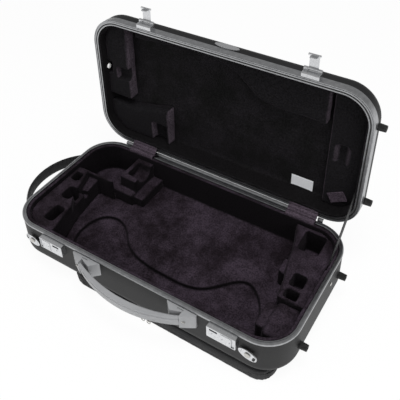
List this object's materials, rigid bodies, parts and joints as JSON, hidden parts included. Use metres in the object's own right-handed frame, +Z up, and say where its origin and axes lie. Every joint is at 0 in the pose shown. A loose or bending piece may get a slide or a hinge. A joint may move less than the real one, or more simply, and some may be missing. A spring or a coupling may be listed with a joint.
{
  "type": "bassoon case",
  "caption": "Hard bassoon case with a hinged lid, velvet foam lining, slide latches with hasps, carrying grip, side strap and zipped music pocket, standing open.",
  "frame": {"origin": "on the ground under the centre of the case outline", "axes": "+Z up, +X along the case to the end with the feet, -Y towards the latches and the carrying grip"},
  "size_m": [0.736, 0.435, 0.4929],
  "materials": {
    "shell": "fine textured black shell",
    "rim": "extruded aluminium, satin",
    "seal": "soft rubber seal",
    "velvet": "short pile velvet over foam",
    "satin_metal": "cast zinc alloy, satin plated",
    "steel": "plated steel",
    "grip_plastic": "satin grey moulded plastic",
    "rubber": "black rubber",
    "webbing": "black woven webbing",
    "black_plastic": "black moulded plastic",
    "pocket_fabric": "black woven polyester",
    "label_plate": "white woven label, bare"
  },
  "bodies": {
    "base": {"base_shell": "shell", "base_rim": "rim", "base_lining": "velvet", "base_left_block": "velvet", "base_saddle_block": "velvet", "base_right_block": "velvet", "base_cushion": "velvet", "base_mound": "velvet", "latch_body_left": "satin_metal", "latch_body_right": "satin_metal", "latch_rivets": "steel", "base_hinge_leaves": "steel", "hinge_pins": "steel", "hinge_cover_left": "velvet", "hinge_cover_right": "velvet", "handle_bracket_left": "grip_plastic", "handle_bracket_right": "grip_plastic", "anchor_rivet_left": "steel", "anchor_rivet_right": "steel", "side_strap": "webbing", "side_strap_ends": "black_plastic", "base_feet": "rubber", "base_foot_screws": "steel", "lid_strap": "webbing", "music_pocket": "pocket_fabric", "zip_tape": "pocket_fabric", "base_rivet": "steel"},
    "lid": {"lid_shell": "shell", "lid_rim": "rim", "lid_seal": "seal", "lid_lining": "velvet", "lid_front_pad": "velvet", "lid_left_pad": "velvet", "lid_saddle_pad": "velvet", "lid_right_pad": "velvet", "lid_tab": "velvet", "hasp_bracket_left": "satin_metal", "hasp_bracket_right": "satin_metal", "hasp_pin_left": "steel", "hasp_pin_right": "steel", "lid_hinge_leaves": "steel", "lid_feet": "rubber", "lid_foot_screws": "steel", "badge": "satin_metal", "label": "label_plate", "lid_rivet": "steel"},
    "hasp_left": {"hasp_plate_left": "satin_metal"},
    "hasp_right": {"hasp_plate_right": "satin_metal"},
    "slider_left": {"latch_slider_left": "satin_metal"},
    "slider_right": {"latch_slider_right": "satin_metal"},
    "handle": {"grip": "grip_plastic", "grip_pins": "steel"},
    "anchor_left": {"anchor_plate_left": "steel"},
    "anchor_right": {"anchor_plate_right": "steel"},
    "zip_left": {"zip_slider_left": "steel"},
    "zip_right": {"zip_slider_right": "steel"},
    "ring_left": {"zip_ring_left": "steel"},
    "ring_right": {"zip_ring_right": "steel"}
  },
  "joints": [
    {"name": "lid_hinge", "type": "hinge", "parent": "base", "child": "lid", "pos_m": [0.005, 0.166, 0.123], "axis": [1, 0, 0], "range_deg": [0, 91], "deforming": ["lid_strap", "hinge_cover_left", "hinge_cover_right"]},
    {"name": "hasp_left_turn", "type": "hinge", "parent": "lid", "child": "hasp_left", "pos_m": [-0.183, 0.18643, 0.4629], "axis": [1, 0, 0], "range_deg": [0, 90]},
    {"name": "slider_left_slide", "type": "slide", "parent": "base", "child": "slider_left", "axis": [-1, 0, 0], "range_m": [0, 0.006], "stiffness_N_per_m": 300, "springref_m": -0.002},
    {"name": "hasp_right_turn", "type": "hinge", "parent": "lid", "child": "hasp_right", "pos_m": [0.193, 0.18643, 0.4629], "axis": [1, 0, 0], "range_deg": [0, 90]},
    {"name": "slider_right_slide", "type": "slide", "parent": "base", "child": "slider_right", "axis": [1, 0, 0], "range_m": [0, 0.006], "stiffness_N_per_m": 300, "springref_m": -0.002},
    {"name": "handle_swing", "type": "hinge", "parent": "base", "child": "handle", "pos_m": [0.005, -0.17551, 0.098], "axis": [1, 0, 0], "range_deg": [-16, 0]},
    {"name": "anchor_left_swivel", "type": "hinge", "parent": "base", "child": "anchor_left", "pos_m": [-0.259, -0.1643, 0.085], "axis": [0, 1, 0], "continuous": true},
    {"name": "anchor_right_swivel", "type": "hinge", "parent": "base", "child": "anchor_right", "pos_m": [0.259, -0.1643, 0.085], "axis": [0, 1, 0], "continuous": true},
    {"name": "zip_left_slide", "type": "slide", "parent": "base", "child": "zip_left", "axis": [-1, 0, 0], "range_m": [0, 0.15]},
    {"name": "ring_left_swing", "type": "hinge", "parent": "zip_left", "child": "ring_left", "pos_m": [0.021, -0.16065, 0.013], "axis": [1, 0, 0], "range_deg": [-90, 0]},
    {"name": "zip_right_slide", "type": "slide", "parent": "base", "child": "zip_right", "axis": [1, 0, 0], "range_m": [0, 0.2]},
    {"name": "ring_right_swing", "type": "hinge", "parent": "zip_right", "child": "ring_right", "pos_m": [0.035, -0.16065, 0.013], "axis": [1, 0, 0], "range_deg": [-90, 0]}
  ]
}
